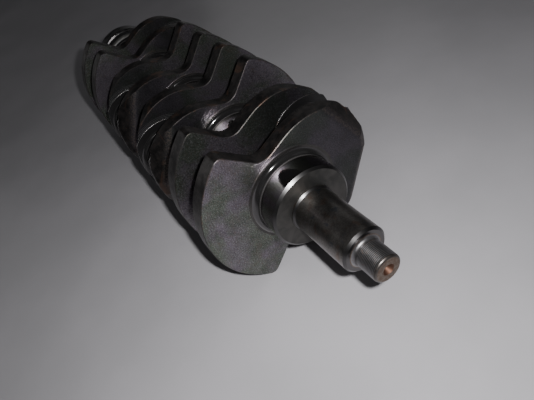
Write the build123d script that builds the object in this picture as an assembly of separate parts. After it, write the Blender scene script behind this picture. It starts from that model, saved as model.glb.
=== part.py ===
from build123d import *
import math
import os

# Forged crankshaft of a small four-cylinder engine with five main bearings.
# Millimetres. +X runs along the crank's axis towards the nose, +Y towards crankpins 1 and 4, +Z is up.
# The origin is on the axis, at the middle of main journal 3.

# Driving dimensions
cylinder_pitch = 95.0
throw = 50.0
main_radius = 34.0
pin_radius = 26.0
web_thickness = 14.6
pin_gap = 33.4
main_gap = cylinder_pitch - pin_gap - 2 * web_thickness
cylinders = 4

# Journal ends: a low collar on the web, then a rolled fillet that is undercut into the ground surface
collar_height = 0.6
main_collar_radius = 40.0
pin_collar_radius = 36.5
main_fillet = 5.2
pin_fillet = 4.6
undercut = 0.4
undercut_ramp = 0.9

# Outline of a web: a round lobe about the crankpin, a waist, and a fan that balances the throw
turned_radius = 79.6
lobe_centre = 29.1
lobe_radius = 53.4
waist_y = -13.3
waist_z = 39.7
waist_radius = 13.6
fan_radius = 79.2
fan_side_slope = 0.962
fan_corner_radius = 6.5
web_edge_break = 0.5

# Bevels on the lobe, on the face that carries the main journal: a cone at the tip and a flat on each shoulder
tip_bevel_radius = 72.8
tip_bevel_depth = 8.5
bevel_blend_radius = 12.0
shoulder_angle = 30.0
shoulder_near = 66.3
shoulder_far = 76.9

# Front end
front_journal_length = 26.0
front_journal_chamfer = 1.9
nose_radius = 18.0
nose_length = 59.0
nose_root_radius = 19.0
nose_root_length = 1.2
nose_undercut_length = 0.6
nose_chamfer = 1.8
thread_radius = 11.0
thread_length = 21.5
thread_chamfer = 2.3
thread_chamfer_length = 2.8
thread_root_fillet = 2.6
relief_radius = 10.8
relief_length = 0.7
centre_radius = 4.3
centre_pilot_radius = 1.6
centre_pilot_depth = 4.0

# Rear end
seal_radius = 40.0
seal_length = 14.0
flange_radius = 42.0
flange_length = 18.0
flange_chamfer = 1.0
bolt_circle_radius = 31.0
bolt_count = 6
bolt_hole_radius = 4.4
bolt_hole_depth = 24.0
bolt_hole_countersink = 0.8
dowel_radius = 4.0
dowel_sunk = 9.0
dowel_proud = 7.0
dowel_chamfer = 0.8
spigot_relief_radius = 14.0
spigot_relief_depth = 26.0

# Oil drillings
drilling_radius = 2.5
pin_drilling_angle = 35.0

# Pilot bearing in the rear bore
bearing_recess = 1.0
bearing_width = 12.0
bearing_outer_radius = 20.0
bearing_bore_radius = 8.5
ball_count = 8
ball_radius = 3.37
ball_circle_radius = 14.25
ball_clearance = 0.06
groove_radius = 3.55
inner_land_radius = 11.9
outer_land_radius = 16.7
cage_inner_radius = 13.2
cage_outer_radius = 15.3
cage_width = 8.6
cage_pocket_radius = 3.55
shield_seat_radius = 17.4
shield_thickness = 0.5
shield_inset = 0.25
shield_gap = 0.35
bearing_chamfer = 0.6

front_web_face = 2 * cylinder_pitch - main_gap / 2
rear_web_face = -front_web_face
nose_start = front_web_face + front_journal_length
thread_start = nose_start + nose_length
thread_end = thread_start + thread_length
seal_start = rear_web_face - main_gap
flange_start = seal_start - seal_length
rear_face = flange_start - flange_length
far = 3 * cylinder_pitch
into_undercut = (undercut, undercut_ramp)


def turned(outline):
    """Spin a closed outline of (x, radius) points about the crank's axis."""
    return revolve(make_face(Polyline(*outline, close=True)), axis=Axis.X)


def rod_along_x(radius, low, high, y=0.0, z=0.0):
    """A round bar along X between two stations."""
    disc = Plane.YZ.offset(low) * Pos(y, z) * Circle(radius)
    return extrude(disc, high - low)


def save(solid, node):
    export_step(solid, "parts/" + node + ".step")


def rolled_fillet(x_face, inward, floor, radius):
    """A solid foot that flares from the floor radius out to a face with a quarter-round fillet."""
    end = x_face + inward * radius
    bulge = radius * (1 - math.sqrt(0.5))
    edges = [
        Line((x_face, 0), (x_face, floor + radius)),
        ThreePointArc(
            (x_face, floor + radius),
            (x_face + inward * bulge, floor + bulge),
            (end, floor),
        ),
        Line((end, floor), (end, 0)),
        Line((end, 0), (x_face, 0)),
    ]
    return revolve(make_face(edges), axis=Axis.X)


def collar(x_face, inward, radius, collar_radius, fillet_radius):
    """Where a journal meets a web: a low round collar and a rolled fillet down to the undercut."""
    collar_face = x_face + inward * collar_height
    flat = turned([
        (x_face, 0),
        (x_face, collar_radius),
        (collar_face, collar_radius),
        (collar_face, 0),
    ])
    return flat + rolled_fillet(collar_face, inward, radius - undercut, fillet_radius)


def main_collar(x_face, inward):
    return collar(x_face, inward, main_radius, main_collar_radius, main_fillet)


def pin_collar(x_face, inward, towards_pin):
    """A crankpin's collar, trimmed to the outline of the web that it stands on."""
    blank = collar(x_face, inward, pin_radius, pin_collar_radius, pin_fillet)
    solid = (Pos(0, throw, 0) * blank) & rim_of_lobe(x_face)
    if towards_pin < 0:
        solid = Rot(180, 0, 0) * solid
    return solid


def rim_of_lobe(x_middle):
    """A web's outline drawn out along X, about the station that is given."""
    return extrude(Plane.YZ.offset(x_middle) * web_outline(), web_thickness, both=True)


def ground_journal(low, high, radius, low_ramp, high_ramp):
    """The straight ground stretch of a journal. A ramp is (drop, run), how it falls away at that end."""
    low_drop, low_run = low_ramp
    high_drop, high_run = high_ramp
    return turned([
        (low, 0),
        (low, radius - low_drop),
        (low + low_run, radius),
        (high - high_run, radius),
        (high, radius - high_drop),
        (high, 0),
    ])


def front_journal():
    """Main journal 1: undercut at web 1, with a plain chamfered face towards the nose."""
    low = front_web_face + collar_height + main_fillet
    chamfered = (front_journal_chamfer, front_journal_chamfer)
    return ground_journal(low, nose_start, main_radius, into_undercut, chamfered)


def main_journal(number):
    reach = main_gap / 2 - collar_height - main_fillet
    middle = main_middle(number)
    return ground_journal(middle - reach, middle + reach, main_radius, into_undercut, into_undercut)


def web_outline():
    """The flat outline of a web, with its crankpin towards +Y."""
    # The straight flank leaves the lobe where it is tangent, and runs to the waist
    dy = waist_y - lobe_centre
    reach = math.hypot(dy, waist_z)
    tangent = math.atan2(waist_z, dy) - math.acos(lobe_radius / reach)
    flank_y = lobe_centre + lobe_radius * math.cos(tangent)
    flank_z = lobe_radius * math.sin(tangent)
    # The fan's side runs out from the waist to the fan's circle
    side = Vector(-1, fan_side_slope).normalized()
    along = waist_y * side.X + waist_z * side.Y
    side_length = -along + math.sqrt(along**2 + fan_radius**2 - waist_y**2 - waist_z**2)
    corner_y = waist_y + side_length * side.X
    corner_z = waist_z + side_length * side.Y
    edges = [
        ThreePointArc((flank_y, -flank_z), (lobe_centre + lobe_radius, 0), (flank_y, flank_z)),
        Line((flank_y, flank_z), (waist_y, waist_z)),
        Line((waist_y, waist_z), (corner_y, corner_z)),
        ThreePointArc((corner_y, corner_z), (-fan_radius, 0), (corner_y, -corner_z)),
        Line((corner_y, -corner_z), (waist_y, -waist_z)),
        Line((waist_y, -waist_z), (flank_y, -flank_z)),
    ]
    face = make_face(edges)
    waist = [v for v in face.vertices() if abs(v.X - waist_y) < 0.01]
    face = fillet(waist, waist_radius)
    corners = [v for v in face.vertices() if abs(v.X - corner_y) < 0.01]
    face = fillet(corners, fan_corner_radius)
    return face & Circle(turned_radius)


def web_plate(low, towards_pin, main_side):
    """A web: towards_pin is +1 or -1 along Y, main_side is the X direction of its main journal."""
    plate = extrude(Plane.YZ * web_outline(), web_thickness)
    rims = plate.edges().filter_by(Axis.X, reverse=True)
    plate = chamfer(rims, web_edge_break)
    plate -= lobe_bevel(main_side)
    plate = blend_bevels(plate, main_side)
    if towards_pin < 0:
        plate = Rot(180, 0, 0) * plate
    return Pos(low, 0, 0) * plate


def lobe_bevel(main_side):
    """What the bevels take off the lobe on the face that carries the main journal."""
    face_x = web_thickness if main_side > 0 else 0.0
    inward = -main_side
    tip_slope = (turned_radius - tip_bevel_radius) / tip_bevel_depth
    outside = 2 * turned_radius
    tip = turned([
        (face_x - inward, tip_bevel_radius - tip_slope),
        (face_x + inward * (outside - tip_bevel_radius) / tip_slope, outside),
        (face_x - inward, outside),
    ])
    lobe_side = Pos(0, outside / 2, 0) * Box(far, outside, 2 * turned_radius)
    return (tip & lobe_side) + shoulder_wedge(face_x, inward, 1) + shoulder_wedge(face_x, inward, -1)


def blend_bevels(plate, main_side):
    """Rounds the creases where the lobe's bevels meet the face."""
    face_x = web_thickness if main_side > 0 else 0.0
    creases = []
    for edge in plate.edges():
        middle = edge.position_at(0.5)
        on_face = abs(middle.X - face_x) < 0.001
        if on_face and middle.Y > lobe_centre and math.hypot(middle.Y, middle.Z) < tip_bevel_radius + 0.1:
            creases.append(edge)
    return fillet(creases, bevel_blend_radius)


def shoulder_wedge(face_x, inward, side):
    """The slanted flat on one shoulder of the lobe: side is +1 for the upper one, -1 for the lower."""
    slope = (shoulder_far - shoulder_near) / web_thickness
    outside = 2 * turned_radius
    past = web_thickness + 1.0
    start_x = face_x - inward
    end_x = face_x + inward * past
    outline = Polyline(
        (start_x, shoulder_near - slope),
        (end_x, shoulder_near + slope * past),
        (end_x, outside),
        (start_x, outside),
        close=True,
    )
    wedge = extrude(make_face(outline), turned_radius, both=True)
    return Rot(side * shoulder_angle, 0, 0) * wedge


def crankpin(cylinder):
    """The straight ground stretch of a crankpin."""
    reach = pin_gap / 2 - collar_height - pin_fillet
    middle = pin_middle(cylinder)
    pin = ground_journal(middle - reach, middle + reach, pin_radius, into_undercut, into_undercut)
    return Pos(0, pin_side(cylinder) * throw, 0) * pin


def drilling(start, end):
    """A straight round hole between two points."""
    way = Vector(*end) - Vector(*start)
    plane = Plane(origin=start, z_dir=way)
    return extrude(plane * Circle(drilling_radius), way.length)


def oil_way(main_x, pin_x, towards_pin, top_open):
    """Drillings that feed one crankpin: a cross hole in the main journal and a slanted hole from the pin."""
    angle = math.radians(pin_drilling_angle)
    reach = pin_radius + 2.0
    pin_y = towards_pin * (throw + reach * math.cos(angle))
    pin_z = towards_pin * reach * math.sin(angle)
    outside = main_radius + 2.0
    top = outside if top_open else 0.0
    slanted = drilling((pin_x, pin_y, pin_z), (main_x, 0, 0))
    cross = drilling((main_x, 0, -outside), (main_x, 0, top))
    return slanted + cross


def nose_shaft():
    """The plain ground seat for the timing gear and the pulley, undercut at its root ring."""
    root_end = nose_start + nose_root_length
    floor = nose_radius - undercut
    undercut_start = root_end + nose_root_radius - floor
    undercut_end = undercut_start + nose_undercut_length
    return turned([
        (nose_start, 0),
        (nose_start, nose_root_radius),
        (root_end, nose_root_radius),
        (undercut_start, floor),
        (undercut_end, floor),
        (undercut_end + undercut, nose_radius),
        (thread_start - nose_chamfer, nose_radius),
        (thread_start, nose_radius - nose_chamfer),
        (thread_start, 0),
    ])


def nose_thread():
    """The threaded stud at its major diameter, with a fillet at the shoulder and a centre drilling."""
    root_end = thread_start + thread_root_fillet
    relief_end = root_end + relief_length
    cone_depth = (centre_radius - centre_pilot_radius) * math.sqrt(3)
    pilot_end = thread_end - cone_depth - centre_pilot_depth
    stud = turned([
        (thread_start, 0),
        (thread_start, relief_radius),
        (relief_end, relief_radius),
        (relief_end + thread_radius - relief_radius, thread_radius),
        (thread_end - thread_chamfer_length, thread_radius),
        (thread_end, thread_radius - thread_chamfer),
        (thread_end, centre_radius),
        (thread_end - cone_depth, centre_pilot_radius),
        (pilot_end, centre_pilot_radius),
        (pilot_end - centre_pilot_radius, 0),
    ])
    return stud + rolled_fillet(thread_start, 1, relief_radius, thread_root_fillet)


def spigot_cavity():
    """The bearing seat in the rear face and the smaller clearance hole behind it."""
    seat_end = rear_face + bearing_recess + bearing_width
    relief_end = rear_face + spigot_relief_depth
    return turned([
        (rear_face - 1.0, 0),
        (rear_face - 1.0, bearing_outer_radius),
        (seat_end, bearing_outer_radius),
        (seat_end, spigot_relief_radius),
        (relief_end, spigot_relief_radius),
        (relief_end + spigot_relief_radius / math.sqrt(3), 0),
    ])


def oil_seal_land():
    """The polished land that the rear oil seal runs on, with the last main journal's rear collar."""
    land = turned([
        (seal_start, 0),
        (seal_start, seal_radius - flange_chamfer),
        (seal_start - flange_chamfer, seal_radius),
        (flange_start, seal_radius),
        (flange_start, 0),
    ])
    land += main_collar(seal_start, 1)
    return land - spigot_cavity() - flange_holes()


def flywheel_flange():
    """The flange that carries the flywheel, with its bolt holes, dowel hole and bearing seat."""
    flange = turned([
        (flange_start, 0),
        (flange_start, flange_radius - flange_chamfer),
        (flange_start - flange_chamfer, flange_radius),
        (rear_face + flange_chamfer, flange_radius),
        (rear_face, flange_radius - flange_chamfer),
        (rear_face, 0),
    ])
    return flange - spigot_cavity() - flange_holes()


def flange_holes():
    """All the holes drilled into the rear face outside the bearing seat."""
    sink = bolt_hole_radius + bolt_hole_countersink
    holes = dowel_blank(rear_face - 1.0)
    for index in range(bolt_count):
        angle = 2 * math.pi * index / bolt_count
        y = bolt_circle_radius * math.cos(angle)
        z = bolt_circle_radius * math.sin(angle)
        holes += rod_along_x(bolt_hole_radius, rear_face - 1.0, rear_face + bolt_hole_depth, y, z)
        cone = Plane.YZ.offset(rear_face) * Pos(y, z) * Circle(sink)
        holes += extrude(cone, bolt_hole_countersink, taper=45)
    return holes


def dowel_blank(outer_end):
    """A round bar in the dowel's place, halfway between two bolt holes."""
    angle = math.pi / bolt_count
    y = bolt_circle_radius * math.cos(angle)
    z = bolt_circle_radius * math.sin(angle)
    return rod_along_x(dowel_radius, outer_end, rear_face + dowel_sunk, y, z)


def flange_dowel():
    """The dowel pin that times the flywheel to the flange."""
    pin = dowel_blank(rear_face - dowel_proud)
    return chamfer(pin.edges().filter_by(GeomType.CIRCLE), dowel_chamfer)


def bearing_middle():
    return rear_face + bearing_recess + bearing_width / 2


def ball_groove(clearance):
    """The ring swept by a ball's groove about the axis."""
    circle = Pos(bearing_middle(), ball_circle_radius + clearance) * Circle(groove_radius)
    return revolve(circle, axis=Axis.X)


def bearing_outer_ring():
    half = bearing_width / 2
    seat_depth = shield_thickness + shield_inset
    blank = rod_along_x(bearing_outer_radius, -half, half)
    rims = blank.edges().filter_by(GeomType.CIRCLE)
    blank = chamfer(rims, bearing_chamfer)
    blank -= rod_along_x(outer_land_radius, -half, half)
    for low in (-half, half - seat_depth):
        blank -= rod_along_x(shield_seat_radius, low, low + seat_depth)
    shift = groove_radius - ball_radius - ball_clearance
    return Pos(bearing_middle(), 0, 0) * blank - ball_groove(-shift)


def bearing_inner_ring():
    half = bearing_width / 2
    blank = rod_along_x(inner_land_radius, -half, half)
    bore = rod_along_x(bearing_bore_radius, -half, half)
    ring = blank - bore
    bore_rims = ring.edges().filter_by(GeomType.CIRCLE).filter_by(
        lambda edge: edge.radius < bearing_bore_radius + 0.1
    )
    ring = chamfer(bore_rims, bearing_chamfer)
    shift = groove_radius - ball_radius - ball_clearance
    return Pos(bearing_middle(), 0, 0) * ring - ball_groove(shift)


def ball_places():
    for index in range(ball_count):
        angle = 2 * math.pi * index / ball_count
        y = ball_circle_radius * math.cos(angle)
        z = ball_circle_radius * math.sin(angle)
        yield Pos(bearing_middle(), y, z)


def bearing_balls():
    return Compound(children=[place * Sphere(ball_radius) for place in ball_places()])


def bearing_cage():
    """A one-piece ring with a round pocket for each ball."""
    low = bearing_middle() - cage_width / 2
    high = bearing_middle() + cage_width / 2
    cage = rod_along_x(cage_outer_radius, low, high) - rod_along_x(cage_inner_radius, low, high)
    for place in ball_places():
        cage -= place * Sphere(cage_pocket_radius)
    return cage


def bearing_shields():
    """Two thin discs pressed into the outer ring, clear of the inner ring."""
    half = bearing_width / 2
    shields = []
    for low in (-half + shield_inset, half - shield_inset - shield_thickness):
        start = bearing_middle() + low
        disc = rod_along_x(shield_seat_radius, start, start + shield_thickness)
        hole = rod_along_x(inner_land_radius + shield_gap, start, start + shield_thickness)
        shields.append(disc - hole)
    return Compound(children=shields)


def pin_side(cylinder):
    """+1 for the outer cylinders, whose crankpins are towards +Y, and -1 for the inner two."""
    return 1 if cylinder in (1, cylinders) else -1


def pin_middle(cylinder):
    return 2 * cylinder_pitch - (cylinder - 0.5) * cylinder_pitch


def main_middle(number):
    return 2 * cylinder_pitch - (number - 1) * cylinder_pitch


def all_oil_ways():
    """One oil way per crankpin, each fed from the main journal nearest to the crank's end."""
    front_main = front_web_face + front_journal_length / 2
    ways = oil_way(front_main, pin_middle(1), pin_side(1), False)
    ways += oil_way(main_middle(2), pin_middle(2), pin_side(2), True)
    ways += oil_way(main_middle(4), pin_middle(3), pin_side(3), True)
    ways += oil_way(main_middle(5), pin_middle(4), pin_side(4), False)
    return ways


def make_mains(ways):
    save(front_journal() - ways, "main_journal_1")
    for number in range(2, cylinders + 2):
        save(main_journal(number) - ways, f"main_journal_{number}")


def web(pin_face, outward, towards_pin):
    """One web with the pin's collar on one face and the main journal's collar on the other."""
    main_face = pin_face + outward * web_thickness
    plate = web_plate(min(pin_face, main_face), towards_pin, outward)
    plate += main_collar(main_face, outward)
    plate += pin_collar(pin_face, -outward, towards_pin)
    return plate


def make_throws(ways):
    """For each cylinder, a crankpin between two webs."""
    for cylinder in range(1, cylinders + 1):
        side = pin_side(cylinder)
        middle = pin_middle(cylinder)
        save(crankpin(cylinder) - ways, f"crankpin_{cylinder}")
        save(web(middle + pin_gap / 2, 1, side) - ways, f"web_{2 * cylinder - 1}")
        save(web(middle - pin_gap / 2, -1, side) - ways, f"web_{2 * cylinder}")


def make_front():
    save(nose_shaft(), "nose_shaft")
    save(nose_thread(), "nose_thread")


def make_rear():
    save(oil_seal_land(), "oil_seal_land")
    save(flywheel_flange(), "flywheel_flange")
    save(flange_dowel(), "flange_dowel")
    save(bearing_outer_ring(), "pilot_bearing_outer_ring")
    save(bearing_inner_ring(), "pilot_bearing_inner_ring")
    save(bearing_balls(), "pilot_bearing_balls")
    save(bearing_cage(), "pilot_bearing_cage")
    save(bearing_shields(), "pilot_bearing_shields")


os.makedirs("parts", exist_ok=True)
oil_ways = all_oil_ways()
make_mains(oil_ways)
make_throws(oil_ways)
make_front()
make_rear()
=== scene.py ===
import math
import bmesh
import bpy
from mathutils import Matrix, Vector


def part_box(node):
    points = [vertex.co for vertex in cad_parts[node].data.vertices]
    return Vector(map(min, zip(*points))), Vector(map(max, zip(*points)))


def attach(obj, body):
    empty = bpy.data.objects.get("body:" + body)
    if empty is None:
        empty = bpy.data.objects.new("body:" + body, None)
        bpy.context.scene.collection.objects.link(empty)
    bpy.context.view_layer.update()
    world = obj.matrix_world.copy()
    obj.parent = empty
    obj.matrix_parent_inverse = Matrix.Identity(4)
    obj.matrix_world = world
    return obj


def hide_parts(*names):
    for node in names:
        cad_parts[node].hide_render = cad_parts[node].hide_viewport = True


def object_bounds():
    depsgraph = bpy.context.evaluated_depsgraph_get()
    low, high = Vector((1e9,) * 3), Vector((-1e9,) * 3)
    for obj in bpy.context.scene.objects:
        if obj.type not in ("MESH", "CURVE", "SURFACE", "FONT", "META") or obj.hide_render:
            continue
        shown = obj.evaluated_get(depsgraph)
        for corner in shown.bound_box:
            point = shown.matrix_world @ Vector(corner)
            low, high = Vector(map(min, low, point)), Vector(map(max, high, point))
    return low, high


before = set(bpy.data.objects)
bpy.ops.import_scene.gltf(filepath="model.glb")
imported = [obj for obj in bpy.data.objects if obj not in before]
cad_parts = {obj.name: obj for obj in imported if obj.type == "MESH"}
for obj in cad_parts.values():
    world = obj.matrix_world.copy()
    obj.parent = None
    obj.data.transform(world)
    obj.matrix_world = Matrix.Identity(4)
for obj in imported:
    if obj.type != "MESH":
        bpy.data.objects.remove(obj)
cad_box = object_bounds()

# Lengths are millimetres, as in the part's source, up to the lights and the camera.
MM = 0.001
CYLINDER_PITCH = 95.0
THROW = 50.0
WEB_NEAR = 16.2    # from the middle of a main journal to the near face of a web
WEB_FAR = 30.8     # and to its far face
FACE_MARGIN = 0.06    # what stands further out from a web's face than this is collar or fillet
FAN_RIM = 79.0     # beyond this radius a web's surface is the turned rim of its fan
SEAL_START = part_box("oil_seal_land")[1].x / MM    # where the rear end meets main journal 5
NOSE_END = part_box("nose_shaft")[1].x / MM
STUD_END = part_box("nose_thread")[1].x / MM

THREAD_RADIUS = 11.0
THREAD_RUNOUT = 3.0
THREAD_PITCH = 1.18    # from the spacing of the photo's ridges, at this scale
THREAD_DEPTH = 0.72
THREAD_FLAT = 0.125    # width of the flat on a crest or in a root, as a share of the pitch
THREAD_STEPS = 12      # mesh lines along one pitch
ROUND_STEPS = 144      # mesh lines around the thread
ROOT_FILLET = 2.6
ROOT_STEPS = 8
RELIEF_RADIUS = 10.8
RELIEF_END = 3.2
END_FACE_RADIUS = 8.9
END_ROUND = 2.4
END_STEPS = 6
CENTRE_RADIUS = 4.3
CENTRE_PILOT_RADIUS = 1.6
CENTRE_PILOT_DEPTH = 4.0
SHARP_ANGLE = math.radians(28)
MERGE_DISTANCE = 1e-6    # metres

AROUND_SHARE = 0.03    # tool marks change this much more slowly around the part than across it
BLACK = (0.0, 0.0, 0.0)

# From here on in metres and watts
FLOOR_REACH = 3.0
FLASH_PLACE = (0.445, -0.06, 0.265)
FLASH_AIM = (0.16, 0.0, 0.0)
FLASH_SIZE = 0.014
FLASH_POWER = 2.25
PANEL_SIZE = 0.9
FRONT_PANEL_POWER = 0.18
REAR_PANEL_POWER = 0.7
ROOM_COLOUR = (0.026, 0.026, 0.027, 1.0)
CAMERA_AIM = (0.16405, -0.01984, 0.0)
CAMERA_DISTANCE = 0.37627
CAMERA_AZIMUTH = math.radians(74.19)
CAMERA_ELEVATION = math.radians(42.16)
CAMERA_ROLL = math.radians(-24.82)


class Finish:
    """A procedural material while it is put together. Lengths are millimetres in the part's frame."""

    def __init__(self, name, metallic):
        self.material = bpy.data.materials.new(name)
        self.material.use_nodes = True
        self.tree = self.material.node_tree
        self.surface = self.tree.nodes["Principled BSDF"]
        self.surface.inputs["Metallic"].default_value = metallic
        coordinates = self.tree.nodes.new("ShaderNodeTexCoord")
        self.place = self.scaled(coordinates.outputs["Object"], 1000.0)
        self.x, self.y, self.z = self.parts(self.place)
        self.facing = self.math("ABSOLUTE", self.parts(coordinates.outputs["Normal"])[0])

    def put(self, value, socket):
        if isinstance(value, bpy.types.NodeSocket):
            self.tree.links.new(value, socket)
        else:
            socket.default_value = value

    def math(self, operation, first, second=0.0, clamp=False):
        """One step of arithmetic on two numbers or outputs."""
        node = self.tree.nodes.new("ShaderNodeMath")
        node.operation = operation
        node.use_clamp = clamp
        self.put(first, node.inputs[0])
        self.put(second, node.inputs[1])
        return node.outputs[0]

    def parts(self, vector):
        node = self.tree.nodes.new("ShaderNodeSeparateXYZ")
        self.put(vector, node.inputs[0])
        return node.outputs

    def joined(self, x, y, z):
        node = self.tree.nodes.new("ShaderNodeCombineXYZ")
        for value, socket in zip((x, y, z), node.inputs):
            self.put(value, socket)
        return node.outputs[0]

    def scaled(self, vector, factor):
        node = self.tree.nodes.new("ShaderNodeVectorMath")
        node.operation = "SCALE"
        self.put(vector, node.inputs[0])
        node.inputs["Scale"].default_value = factor
        return node.outputs[0]

    def radius(self, y, z):
        """Distance from an axis that runs along x."""
        squares = self.math("ADD", self.math("MULTIPLY", y, y), self.math("MULTIPLY", z, z))
        return self.math("SQRT", squares)

    def noise(self, vector, size, detail, roughness, distortion=0.0):
        node = self.tree.nodes.new("ShaderNodeTexNoise")
        self.put(vector, node.inputs["Vector"])
        node.inputs["Scale"].default_value = 1.0 / size
        node.inputs["Detail"].default_value = detail
        node.inputs["Roughness"].default_value = roughness
        node.inputs["Distortion"].default_value = distortion
        return node.outputs[0]

    def ramp(self, value, low, high, to_low=0.0, to_high=1.0):
        """value between low and high becomes to_low to to_high, smoothly, and stays there outside."""
        node = self.tree.nodes.new("ShaderNodeMapRange")
        node.interpolation_type = "SMOOTHSTEP"
        self.put(value, node.inputs["Value"])
        limits = {"From Min": low, "From Max": high, "To Min": to_low, "To Max": to_high}
        for name, number in limits.items():
            node.inputs[name].default_value = number
        return node.outputs["Result"]

    def both(self, first, second):
        """A mask that is on only where both masks are."""
        return self.math("MULTIPLY", first, second)

    def mix(self, share, first, second):
        """Blends two colours, each an output or three numbers."""
        node = self.tree.nodes.new("ShaderNodeMix")
        node.data_type = "RGBA"
        self.put(share, node.inputs[0])
        for colour, socket in ((first, node.inputs[6]), (second, node.inputs[7])):
            self.put(colour if isinstance(colour, bpy.types.NodeSocket) else (*colour, 1.0), socket)
        return node.outputs[2]

    def blend(self, share, first, second):
        """Blends two numbers or outputs."""
        node = self.tree.nodes.new("ShaderNodeMix")
        self.put(share, node.inputs[0])
        self.put(first, node.inputs[2])
        self.put(second, node.inputs[3])
        return node.outputs[0]

    def worn_edges(self, reach, low=0.02, high=0.25):
        """Near 1 within reach of a convex or concave edge."""
        bevel = self.tree.nodes.new("ShaderNodeBevel")
        bevel.samples = 6
        bevel.inputs["Radius"].default_value = reach * MM
        geometry = self.tree.nodes.new("ShaderNodeNewGeometry")
        dot = self.tree.nodes.new("ShaderNodeVectorMath")
        dot.operation = "DOT_PRODUCT"
        self.put(bevel.outputs[0], dot.inputs[0])
        self.put(geometry.outputs["Normal"], dot.inputs[1])
        return self.ramp(self.math("SUBTRACT", 1.0, dot.outputs["Value"]), low, high)

    def bump(self, height, depth, under=None):
        node = self.tree.nodes.new("ShaderNodeBump")
        node.inputs["Distance"].default_value = depth * MM
        self.put(height, node.inputs["Height"])
        if under is not None:
            self.put(under, node.inputs["Normal"])
        return node.outputs[0]

    def done(self, colour, roughness, normal=None):
        self.put(colour, self.surface.inputs["Base Color"])
        self.put(roughness, self.surface.inputs["Roughness"])
        if normal is not None:
            self.put(normal, self.surface.inputs["Normal"])
        return self.material


def ring_marks(finish, along, around_first, around_second, spacing):
    """Fine lines left by a tool that turns about the crank's axis, or about a pin's."""
    stretched = finish.joined(
        finish.math("MULTIPLY", along, 1.0 / spacing),
        finish.math("MULTIPLY", around_first, AROUND_SHARE),
        finish.math("MULTIPLY", around_second, AROUND_SHARE),
    )
    return finish.noise(stretched, 1.0, detail=3.0, roughness=0.7)


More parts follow.
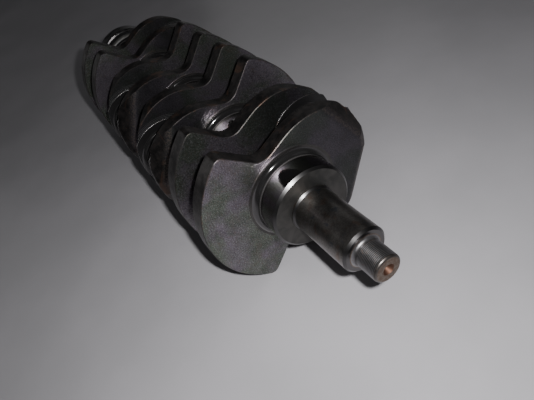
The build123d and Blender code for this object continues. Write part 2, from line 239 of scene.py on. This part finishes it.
class WebFinish(Finish):
    """The webs: dark forging, with the places and noises that its colour, roughness and bumps share."""

    def __init__(self):
        super().__init__("forged_web", 0.9)
        self.from_main = self.math("PINGPONG", self.x, CYLINDER_PITCH / 2)
        outer_pins = self.math("GREATER_THAN", self.math("ABSOLUTE", self.x), CYLINDER_PITCH)
        self.towards_pin = self.math("SUBTRACT", self.math("MULTIPLY", outer_pins, 2.0), 1.0)
        self.from_pin_y = self.math("SUBTRACT", self.y, self.math("MULTIPLY", self.towards_pin, THROW))
        self.pin_radius = self.radius(self.from_pin_y, self.z)

        main_side = self.math("LESS_THAN", self.from_main, WEB_NEAR - FACE_MARGIN)
        self.pin_side = self.math("GREATER_THAN", self.from_main, WEB_FAR + FACE_MARGIN)
        self.standing = self.math("ADD", main_side, self.pin_side, clamp=True)
        self.plate = self.math("SUBTRACT", 1.0, self.standing)
        self.flat = self.ramp(self.facing, 0.55, 0.93)
        self.fillet = self.both(self.standing, self.math("LESS_THAN", self.facing, 0.985))
        self.foot = self.both(self.fillet, self.ramp(self.facing, 0.30, 0.16))
        beyond = self.ramp(self.radius(self.y, self.z), FAN_RIM - 0.1, FAN_RIM + 0.1)
        self.rim = self.both(beyond, self.plate)
        pin_face = self.math("GREATER_THAN", self.from_main, WEB_FAR - 0.1)
        self.on_pin_face = self.both(pin_face, self.ramp(self.pin_radius, 60.0, 40.0))

        self.cloud = self.noise(self.place, 34.0, detail=5.0, roughness=0.55, distortion=0.4)
        self.mottle = self.noise(self.place, 9.0, detail=6.0, roughness=0.65)
        self.stain = self.noise(self.place, 19.0, detail=7.0, roughness=0.62, distortion=0.9)
        self.scale = self.noise(self.place, 2.2, detail=5.0, roughness=0.65)
        self.grain = self.noise(self.place, 1.1, detail=4.0, roughness=0.8)
        self.speckle = self.noise(self.place, 1.3, detail=4.0, roughness=0.7)
        scratches = self.noise(self.place, 1.6, detail=6.0, roughness=0.7)
        worn = self.both(self.worn_edges(0.30, 0.05, 0.24), self.plate)
        self.scraped = self.both(worn, self.ramp(scratches, 0.44, 0.62, 0.05, 0.90))

    def sides(self):
        """Colour of the flat sides: mauve and green scale, oil, bright grain and rust, darker on the lobe."""
        mauve, green = (0.166, 0.146, 0.174), (0.104, 0.122, 0.100)
        oil, rust = (0.105, 0.082, 0.066), (0.150, 0.096, 0.074)
        bright_grain, dark_grain = (0.34, 0.33, 0.345), (0.040, 0.036, 0.036)
        lobe_grey = (0.026, 0.026, 0.029)
        colour = self.mix(self.ramp(self.cloud, 0.40, 0.60), mauve, green)
        colour = self.mix(self.ramp(self.mottle, 0.30, 0.70), self.mix(0.32, colour, BLACK), colour)
        colour = self.mix(self.ramp(self.stain, 0.56, 0.70, 0.0, 0.35), colour, oil)
        colour = self.mix(self.ramp(self.grain, 0.52, 0.66, 0.0, 0.60), colour, bright_grain)
        colour = self.mix(self.ramp(self.grain, 0.50, 0.36, 0.0, 0.75), colour, dark_grain)
        colour = self.mix(self.ramp(self.speckle, 0.56, 0.66, 0.0, 0.55), colour, rust)
        lobe = self.ramp(self.both(self.y, self.towards_pin), -14.0, 30.0, 0.0, 0.68)
        return self.mix(lobe, colour, lobe_grey)

    def walls(self):
        """Colour of the narrow walls round the outline: near black, with rust stains and specks."""
        dark, light = (0.022, 0.021, 0.021), (0.062, 0.056, 0.055)
        stained, rust = (0.14, 0.084, 0.060), (0.17, 0.088, 0.055)
        colour = self.mix(self.ramp(self.mottle, 0.35, 0.65), dark, light)
        colour = self.mix(self.ramp(self.stain, 0.54, 0.66, 0.0, 0.7), colour, stained)
        patches = self.ramp(self.mottle, 0.48, 0.66, 0.0, 0.8)
        return self.mix(self.both(self.ramp(self.speckle, 0.56, 0.66), patches), colour, rust)

    def cuts(self):
        """Bright rings that the cutter left round the nearer pins, broken up by the mottle."""
        near_line = self.ramp(self.math("PINGPONG", self.pin_radius, 0.7), 0.22, 0.08)
        lines = self.both(near_line, self.both(self.on_pin_face, self.ramp(self.pin_radius, 42.5, 39.5)))
        lines = self.both(lines, self.ramp(self.x, 110.0, 90.0))
        return self.both(lines, self.ramp(self.mottle, 0.35, 0.60, 0.20, 0.90))

    def forging(self):
        """Colour of the plate: sides and walls, with cuts, bevels, the turned rim and worn edges over them."""
        dark_scale, bright_cut = (0.028, 0.027, 0.028), (0.36, 0.35, 0.36)
        bevel_grey, scraped_steel = (0.155, 0.125, 0.110), (0.37, 0.36, 0.36)
        rim_dark, rim_light = (0.055, 0.052, 0.052), (0.13, 0.122, 0.12)
        rust_dark, rust_light = (0.070, 0.048, 0.040), (0.200, 0.110, 0.072)
        colour = self.mix(self.flat, self.walls(), self.sides())
        colour = self.mix(self.ramp(self.scale, 0.60, 0.76, 0.0, 0.5), colour, dark_scale)
        colour = self.mix(self.cuts(), colour, bright_cut)
        bevel = self.both(self.ramp(self.facing, 0.985, 0.94), self.flat)
        specks = self.ramp(self.speckle, 0.44, 0.60, 0.0, 0.75)
        colour = self.mix(self.both(bevel, specks), colour, bevel_grey)
        colour = self.mix(self.rim, colour, self.mix(self.ramp(self.mottle, 0.35, 0.65), rim_dark, rim_light))
        edge_stain = self.ramp(self.stain, 0.50, 0.62, 0.0, 0.75)
        edge_rust = self.mix(self.ramp(self.speckle, 0.40, 0.62), rust_dark, rust_light)
        beside_edge = self.both(self.worn_edges(2.6, 0.01, 0.16), edge_stain)
        colour = self.mix(beside_edge, colour, edge_rust)
        return self.mix(self.scraped, colour, scraped_steel)

    def colour(self):
        """The forging, with the turned collars and the polished fillets that stand on it, and a painted
        highlight: a pale line along the foot of each fillet.
        """
        collar_dark, collar_light = (0.050, 0.048, 0.048), (0.085, 0.080, 0.077)
        pin_collar, fillet_grey, painted_foot_highlight = (0.050, 0.049, 0.050), (0.100, 0.097, 0.098), (0.42, 0.40, 0.40)
        main_collar = self.mix(self.ramp(self.mottle, 0.30, 0.70), collar_dark, collar_light)
        collar = self.mix(self.pin_side, main_collar, pin_collar)
        colour = self.mix(self.standing, self.forging(), collar)
        colour = self.mix(self.fillet, colour, fillet_grey)
        # Painted highlight: the foot of each fillet, next to the journal or pin, is painted pale.
        return self.mix(self.foot, colour, painted_foot_highlight)

    def rough(self):
        rough = self.blend(self.flat, 0.50, self.ramp(self.mottle, 0.3, 0.7, 0.44, 0.34))
        rough = self.blend(self.rim, rough, 0.38)
        rough = self.blend(self.scraped, rough, 0.28)
        rough = self.blend(self.standing, rough, 0.38)
        rough = self.blend(self.fillet, rough, self.ramp(self.mottle, 0.3, 0.8, 0.09, 0.15))
        return self.blend(self.foot, rough, 0.22)

    def skin(self):
        """Scale and grain on the plate, and tool marks round the pins and across the rim."""
        pin_rings = ring_marks(self, self.pin_radius, self.from_pin_y, self.z, 0.55)
        across_rim = ring_marks(self, self.x, self.y, self.z, 0.35)
        skin = self.bump(self.both(self.scale, self.plate), 0.10)
        skin = self.bump(self.both(self.grain, self.plate), 0.030, skin)
        skin = self.bump(self.both(self.both(pin_rings, self.on_pin_face), self.flat), 0.05, skin)
        return self.bump(self.both(across_rim, self.rim), 0.010, skin)


def forged_web():
    """Dark forging with a fine grain, oil stains and bright scraped edges, and polished journal fillets."""
    f = WebFinish()
    return f.done(f.colour(), f.rough(), f.skin())


def ground_journal():
    """Mirror-bright ground steel with faint rings and a film of old oil, and a painted highlight: a pale line
    on the undercut ramps.
    """
    f = Finish("ground_journal", 1.0)
    film = f.noise(f.place, 16.0, detail=5.0, roughness=0.6, distortion=0.8)
    rings = ring_marks(f, f.x, f.y, f.z, 0.30)
    facing = f.ramp(f.facing, 0.8, 0.98)
    chamfer = f.ramp(f.facing, 0.45, 0.6)
    face_rings = ring_marks(f, f.radius(f.y, f.z), f.x, f.x, 0.5)
    face = f.mix(f.ramp(film, 0.35, 0.65), (0.062, 0.062, 0.060), (0.100, 0.096, 0.092))
    colour = f.mix(f.ramp(film, 0.40, 0.72), (0.29, 0.282, 0.286), (0.22, 0.205, 0.190))
    colour = f.mix(f.ramp(rings, 0.60, 0.80, 0.0, 0.30), colour, (0.18, 0.172, 0.172))
    colour = f.mix(f.ramp(f.x, SEAL_START + 1.0, SEAL_START - 1.0), colour, (0.15, 0.146, 0.146))
    undercut = f.both(f.ramp(f.facing, 0.22, 0.32), f.ramp(f.facing, 0.58, 0.48))
    colour = f.mix(chamfer, colour, (0.105, 0.102, 0.102))
    # Painted highlight: the undercut ramps at the journals' ends are painted pale.
    colour = f.mix(undercut, colour, (0.66, 0.63, 0.62))
    colour = f.mix(facing, colour, face)
    rough = f.ramp(film, 0.35, 0.75, 0.10, 0.17)
    rough = f.math("ADD", rough, f.ramp(rings, 0.5, 0.8, 0.0, 0.04))
    rough = f.blend(undercut, rough, 0.24)
    rough = f.blend(chamfer, rough, 0.30)
    rough = f.blend(facing, rough, 0.56)
    skin = f.bump(rings, 0.0008)
    skin = f.bump(f.both(face_rings, facing), 0.008, skin)
    return f.done(colour, rough, skin)


def turned_nose():
    """Turned shaft that has gone dark, with oil burnt onto it in brown and blue patches."""
    f = Finish("turned_nose", 1.0)
    film = f.noise(f.place, 10.0, detail=7.0, roughness=0.62, distortion=0.5)
    grain = f.noise(f.place, 1.4, detail=5.0, roughness=0.75)
    patches = f.noise(f.place, 8.0, detail=4.0, roughness=0.55, distortion=0.4)
    rings = ring_marks(f, f.x, f.y, f.z, 0.30)
    face_rings = ring_marks(f, f.radius(f.y, f.z), f.x, f.x, 0.4)
    facing = f.ramp(f.facing, 0.8, 0.98)
    colour = f.mix(f.ramp(film, 0.30, 0.70), (0.205, 0.193, 0.184), (0.285, 0.270, 0.256))
    colour = f.mix(f.ramp(patches, 0.55, 0.68, 0.0, 0.60), colour, (0.24, 0.155, 0.115))
    colour = f.mix(f.ramp(patches, 0.42, 0.32, 0.0, 0.60), colour, (0.085, 0.125, 0.180))
    colour = f.mix(f.ramp(grain, 0.40, 0.62, 0.0, 0.38), colour, (0.075, 0.068, 0.062))
    colour = f.mix(f.ramp(rings, 0.45, 0.70, 0.0, 0.50), colour, (0.12, 0.110, 0.10))
    at_end = f.ramp(f.x, NOSE_END - 4.0, NOSE_END - 3.0)
    colour = f.mix(f.ramp(f.facing, 0.30, 0.55), colour, (0.100, 0.097, 0.097))
    colour = f.mix(f.both(f.worn_edges(0.5), f.both(at_end, 0.5)), colour, (0.30, 0.29, 0.29))
    colour = f.mix(f.both(facing, at_end), colour, (0.12, 0.115, 0.115))
    rough = f.ramp(film, 0.30, 0.70, 0.32, 0.38)
    rough = f.blend(f.ramp(f.facing, 0.30, 0.55), rough, 0.31)
    skin = f.bump(rings, 0.004)
    skin = f.bump(f.both(face_rings, f.both(facing, at_end)), 0.012, skin)
    return f.done(colour, rough, skin)


def thread_steel():
    """Lighter crests and roots darkened as painted shade, and a rusty end face with a copper-coloured centre
    hole.
    """
    f = Finish("thread_steel", 0.95)
    spots = f.noise(f.place, 2.2, detail=6.0, roughness=0.65)
    axis_radius = f.radius(f.y, f.z)
    # Painted shade: the roots of the thread are much darker than the crests.
    colour = f.mix(f.ramp(axis_radius, 10.25, 10.95), (0.050, 0.046, 0.045), (0.205, 0.200, 0.205))
    colour = f.mix(f.ramp(f.x, STUD_END - 2.4, STUD_END - 1.6), colour, (0.105, 0.094, 0.088))
    colour = f.mix(f.ramp(spots, 0.55, 0.72, 0.0, 0.55), colour, (0.20, 0.12, 0.075))
    facing = f.ramp(f.facing, 0.95, 0.99)
    rust = f.mix(f.ramp(spots, 0.40, 0.62), (0.135, 0.095, 0.072), (0.20, 0.165, 0.14))
    colour = f.mix(facing, colour, rust)
    inside = f.ramp(axis_radius, 4.6, 4.2)
    colour = f.mix(inside, colour, (0.125, 0.066, 0.046))
    rough = f.blend(facing, f.ramp(spots, 0.3, 0.7, 0.30, 0.46), 0.55)
    rough = f.blend(inside, rough, 0.60)
    rings = ring_marks(f, axis_radius, f.x, f.x, 0.4)
    skin = f.bump(spots, 0.03)
    skin = f.bump(f.both(rings, facing), 0.03, skin)
    return f.done(colour, rough, skin)


def turned_flange():
    """Dull turned steel of the rear end."""
    f = Finish("turned_flange", 1.0)
    film = f.noise(f.place, 18.0, detail=6.0, roughness=0.6, distortion=0.9)
    axis_radius = f.radius(f.y, f.z)
    facing = f.ramp(f.facing, 0.8, 0.98)
    rings = ring_marks(f, f.x, f.y, f.z, 0.35)
    face_rings = ring_marks(f, axis_radius, f.x, f.x, 0.5)
    colour = f.mix(f.ramp(film, 0.35, 0.66), (0.14, 0.137, 0.14), (0.22, 0.211, 0.209))
    colour = f.mix(f.ramp(film, 0.60, 0.74, 0.0, 0.5), colour, (0.20, 0.14, 0.10))
    colour = f.mix(f.worn_edges(0.4), colour, (0.36, 0.35, 0.34))
    rough = f.ramp(film, 0.3, 0.7, 0.24, 0.36)
    skin = f.bump(f.blend(facing, rings, face_rings), 0.010)
    return f.done(colour, rough, skin)


def hard_steel(name, colour, stained, low, high):
    """Small hardened pieces: dowel, bearing rings and balls, cage and shields."""
    f = Finish(name, 1.0)
    film = f.noise(f.place, 4.0, detail=5.0, roughness=0.6)
    rings = ring_marks(f, f.radius(f.y, f.z), f.x, f.x, 0.25)
    tint = f.mix(f.ramp(film, 0.45, 0.70), colour, stained)
    rough = f.ramp(film, 0.3, 0.7, low, high)
    return f.done(tint, rough, f.bump(rings, 0.003))


def finishes():
    """The finish for each material slot of the record."""
    return {
        "forged_web_steel": forged_web(),
        "ground_journal_steel": ground_journal(),
        "nose_steel": turned_nose(),
        "thread_steel": thread_steel(),
        "turned_flange_steel": turned_flange(),
        "dowel_steel": hard_steel("dowel_steel", (0.34, 0.33, 0.33), (0.17, 0.13, 0.10), 0.26, 0.40),
        "bearing_steel": hard_steel("bearing_steel", (0.62, 0.61, 0.61), (0.48, 0.46, 0.43), 0.10, 0.20),
        "bearing_cage": hard_steel("bearing_cage", (0.46, 0.42, 0.36), (0.33, 0.28, 0.22), 0.26, 0.36),
        "bearing_shield": hard_steel("bearing_shield", (0.42, 0.41, 0.41), (0.30, 0.28, 0.26), 0.24, 0.34),
    }


def profile_at(x, profile):
    """Radius at x on a turned profile, a list of (x, radius) in order of x."""
    for (x0, r0), (x1, r1) in zip(profile, profile[1:]):
        if x <= x1:
            return r0 + (r1 - r0) * (x - x0) / (x1 - x0)
    return profile[-1][1]


def thread_profile():
    """The turned outline that the thread is cut into: root fillet, plain wall and a rounded end."""
    low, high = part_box("nose_thread")
    start, end = low.x / MM, high.x / MM
    foot = RELIEF_RADIUS + ROOT_FILLET
    outline = []
    for step in range(ROOT_STEPS + 1):
        angle = math.pi / 2 * step / ROOT_STEPS
        along = start + ROOT_FILLET * (1 - math.cos(angle))
        outline.append((along, foot - ROOT_FILLET * math.sin(angle)))
    outline.append((start + RELIEF_END, RELIEF_RADIUS))
    outline.append((start + RELIEF_END + THREAD_RADIUS - RELIEF_RADIUS, THREAD_RADIUS))
    for step in range(END_STEPS + 1):
        angle = math.pi / 2 * step / END_STEPS
        drop = (THREAD_RADIUS - END_FACE_RADIUS) * (1 - math.cos(angle))
        outline.append((end - END_ROUND * (1 - math.sin(angle)), THREAD_RADIUS - drop))
    return outline


def nose_thread():
    """Rings of points that run along the thread's helix, held inside the turned outline."""
    profile = thread_profile()
    root_edge = (1 - THREAD_FLAT) / 2
    flank = (1 - 2 * THREAD_FLAT) / 2
    start, end = profile[0][0], profile[-1][0]
    turns = math.ceil((end - start) / THREAD_PITCH) + 1
    rings = []
    for line in range(-THREAD_STEPS, turns * THREAD_STEPS + 1):
        phase = (line / THREAD_STEPS) % 1.0
        depth = THREAD_DEPTH * min(1.0, max(0.0, (root_edge - abs(phase - 0.5)) / flank))
        ring = []
        for step in range(ROUND_STEPS):
            turn = step / ROUND_STEPS
            x = min(end, max(start, start + THREAD_PITCH * (line / THREAD_STEPS + turn)))
            cut = THREAD_RADIUS - depth if x > start + THREAD_RUNOUT else math.inf
            ring.append(ring_point(x, min(profile_at(x, profile), cut), turn))
        rings.append(ring)
    return rings


def ring_point(x, radius, turn):
    """A point in metres, turn being the share of a full turn about the crank's axis."""
    angle = 2 * math.pi * turn
    return Vector((x, radius * math.cos(angle), radius * math.sin(angle))) * MM


def thread_mesh():
    """The stud as one closed mesh: helical flanks, the shoulder's disc and the drilled end face."""
    shape = bmesh.new()
    lines = [[shape.verts.new(point) for point in ring] for ring in nose_thread()]
    for low, high in zip(lines, lines[1:]):
        for step in range(ROUND_STEPS - 1):
            shape.faces.new((low[step], high[step], high[step + 1], low[step + 1]))
    for number in range(len(lines) - THREAD_STEPS - 1):
        low, high = lines[number], lines[number + 1]
        next_low, next_high = lines[number + THREAD_STEPS], lines[number + THREAD_STEPS + 1]
        shape.faces.new((low[-1], high[-1], next_high[0], next_low[0]))
    close_ends(shape)
    bmesh.ops.remove_doubles(shape, verts=shape.verts, dist=MERGE_DISTANCE)
    bmesh.ops.dissolve_degenerate(shape, edges=shape.edges, dist=MERGE_DISTANCE)
    bmesh.ops.recalc_face_normals(shape, faces=shape.faces)
    mesh = bpy.data.meshes.new("threaded_stud")
    shape.to_mesh(mesh)
    shape.free()
    return mesh


def close_ends(shape):
    """The disc at the shoulder, and the end face with its centre drilling."""
    profile = thread_profile()
    start, end = profile[0][0], profile[-1][0]
    cone_end = end - (CENTRE_RADIUS - CENTRE_PILOT_RADIUS) * math.sqrt(3)
    pilot_end = cone_end - CENTRE_PILOT_DEPTH
    shoulder = [profile[0], (start, 0.0)]
    end_face = [
        (end, END_FACE_RADIUS),
        (end, CENTRE_RADIUS),
        (cone_end, CENTRE_PILOT_RADIUS),
        (pilot_end, CENTRE_PILOT_RADIUS),
        (pilot_end - CENTRE_PILOT_RADIUS, 0.0),
    ]
    for outline in (shoulder, end_face):
        rings = []
        for x, radius in outline:
            points = [ring_point(x, radius, step / ROUND_STEPS) for step in range(ROUND_STEPS)]
            rings.append([shape.verts.new(point) for point in points])
        for low, high in zip(rings, rings[1:]):
            for step in range(ROUND_STEPS):
                after = (step + 1) % ROUND_STEPS
                shape.faces.new((low[step], high[step], high[after], low[after]))


def add_thread(finish):
    """Puts the cut thread in the place of the plain stud."""
    stud = bpy.data.objects.new("threaded_stud", thread_mesh())
    bpy.context.collection.objects.link(stud)
    stud.data.materials.append(finish)
    for face in stud.data.polygons:
        face.use_smooth = True
    stud.data.set_sharp_from_angle(angle=SHARP_ANGLE)
    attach(stud, "crank")
    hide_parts("nose_thread")


def dress(finish_by_slot):
    """Gives every CAD node the finish of the slot that it is packed with."""
    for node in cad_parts.values():
        for slot in node.material_slots:
            slot.material = finish_by_slot[slot.material.name.split(".")[0]]


def floor_material():
    """Pale polished tile, a little cloudy."""
    f = Finish("pale_floor", 0.0)
    cloud = f.noise(f.place, 160.0, detail=5.0, roughness=0.55)
    colour = f.mix(f.ramp(cloud, 0.3, 0.7), (0.44, 0.43, 0.45), (0.50, 0.485, 0.51))
    return f.done(colour, f.ramp(cloud, 0.3, 0.7, 0.30, 0.38))


def add_floor():
    shape = bmesh.new()
    bmesh.ops.create_grid(shape, x_segments=8, y_segments=8, size=FLOOR_REACH)
    mesh = bpy.data.meshes.new("floor")
    shape.to_mesh(mesh)
    shape.free()
    floor = bpy.data.objects.new("floor", mesh)
    bpy.context.collection.objects.link(floor)
    floor.location.z = cad_box[0].z
    floor.data.materials.append(floor_material())


def add_area_light(name, place, aim, size, power):
    light = bpy.data.lights.new(name, "AREA")
    light.size = size
    light.energy = power
    lamp = bpy.data.objects.new(name, light)
    bpy.context.collection.objects.link(lamp)
    away = Vector(place) - Vector(aim)
    lamp.matrix_world = Matrix.Translation(place) @ away.to_track_quat("Z", "Y").to_matrix().to_4x4()


def add_lights():
    """A small flash beside the lens, and large weak panels round the part that open up the other sides."""
    middle = (0.0, 0.0, 0.0)
    add_area_light("flash", FLASH_PLACE, FLASH_AIM, FLASH_SIZE, FLASH_POWER)
    for side, name in ((-1, "left"), (1, "right")):
        add_area_light("front_" + name, (0.45, 1.3 * side, 0.75), middle, PANEL_SIZE, FRONT_PANEL_POWER)
        add_area_light("rear_" + name, (-1.2, 0.9 * side, 0.55), middle, PANEL_SIZE, REAR_PANEL_POWER)
    world = bpy.data.worlds.new("room")
    bpy.context.scene.world = world
    world.use_nodes = True
    world.node_tree.nodes["Background"].inputs["Color"].default_value = ROOM_COLOUR


def add_camera():
    """Looks down on the nose end from ahead of it, at the photo's angle and roll."""
    level_reach = math.cos(CAMERA_ELEVATION)
    back = Vector((
        math.sin(CAMERA_AZIMUTH) * level_reach,
        -math.cos(CAMERA_AZIMUTH) * level_reach,
        math.sin(CAMERA_ELEVATION),
    ))
    level = Vector((math.cos(CAMERA_AZIMUTH), math.sin(CAMERA_AZIMUTH), 0.0))
    right = level * math.cos(CAMERA_ROLL) + back.cross(level) * math.sin(CAMERA_ROLL)
    up = back.cross(right)
    data = bpy.data.cameras.new("camera")
    data.sensor_width = 36.0
    data.lens = 32.07
    data.clip_start = 0.01
    camera = bpy.data.objects.new("camera", data)
    bpy.context.collection.objects.link(camera)
    turn = Matrix((right, up, back)).transposed().to_4x4()
    camera.matrix_world = Matrix.Translation(Vector(CAMERA_AIM) + back * CAMERA_DISTANCE) @ turn
    bpy.context.scene.camera = camera


slots = finishes()
dress(slots)
add_thread(slots["thread_steel"])
add_floor()
add_lights()
add_camera()
